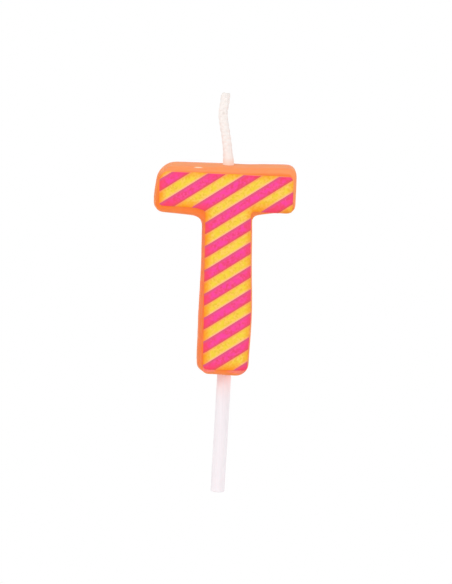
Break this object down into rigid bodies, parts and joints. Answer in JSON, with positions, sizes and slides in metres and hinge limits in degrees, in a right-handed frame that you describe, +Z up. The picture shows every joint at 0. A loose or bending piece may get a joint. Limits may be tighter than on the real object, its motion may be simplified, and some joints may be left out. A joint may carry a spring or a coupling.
{
  "type": "letter candle",
  "caption": "Cake candle shaped as the capital letter T, with a diagonally striped printed face, a cotton wick on top and a stick below.",
  "frame": {"origin": "on the axis of the stick, at the underside of the letter's foot, where the stick leaves the wax", "axes": "+X to the letter's right seen from its striped front, +Y from the front to the back, +Z up the letter to the wick"},
  "size_m": [0.0269, 0.0087, 0.0765],
  "materials": {
    "orange_wax": "satin cast paraffin wax, slightly translucent",
    "yellow_print": "thin printed transfer film pressed on to the wax",
    "pink_print": "pink ink printed over the yellow film",
    "waxed_cotton": "braided cotton stiffened with clear wax",
    "white_plastic": "moulded translucent white plastic"
  },
  "bodies": {
    "root": {"wax_body": "orange_wax", "face_film": "yellow_print", "pink_band_01": "pink_print", "pink_band_02": "pink_print", "pink_band_03": "pink_print", "pink_band_04": "pink_print", "pink_band_05": "pink_print", "pink_band_06": "pink_print", "pink_band_07": "pink_print", "pink_band_07b": "pink_print", "pink_band_08": "pink_print", "pink_band_09": "pink_print", "pink_band_10": "pink_print", "pink_band_11": "pink_print", "wick": "waxed_cotton", "stick": "white_plastic"}
  },
  "joints": []
}
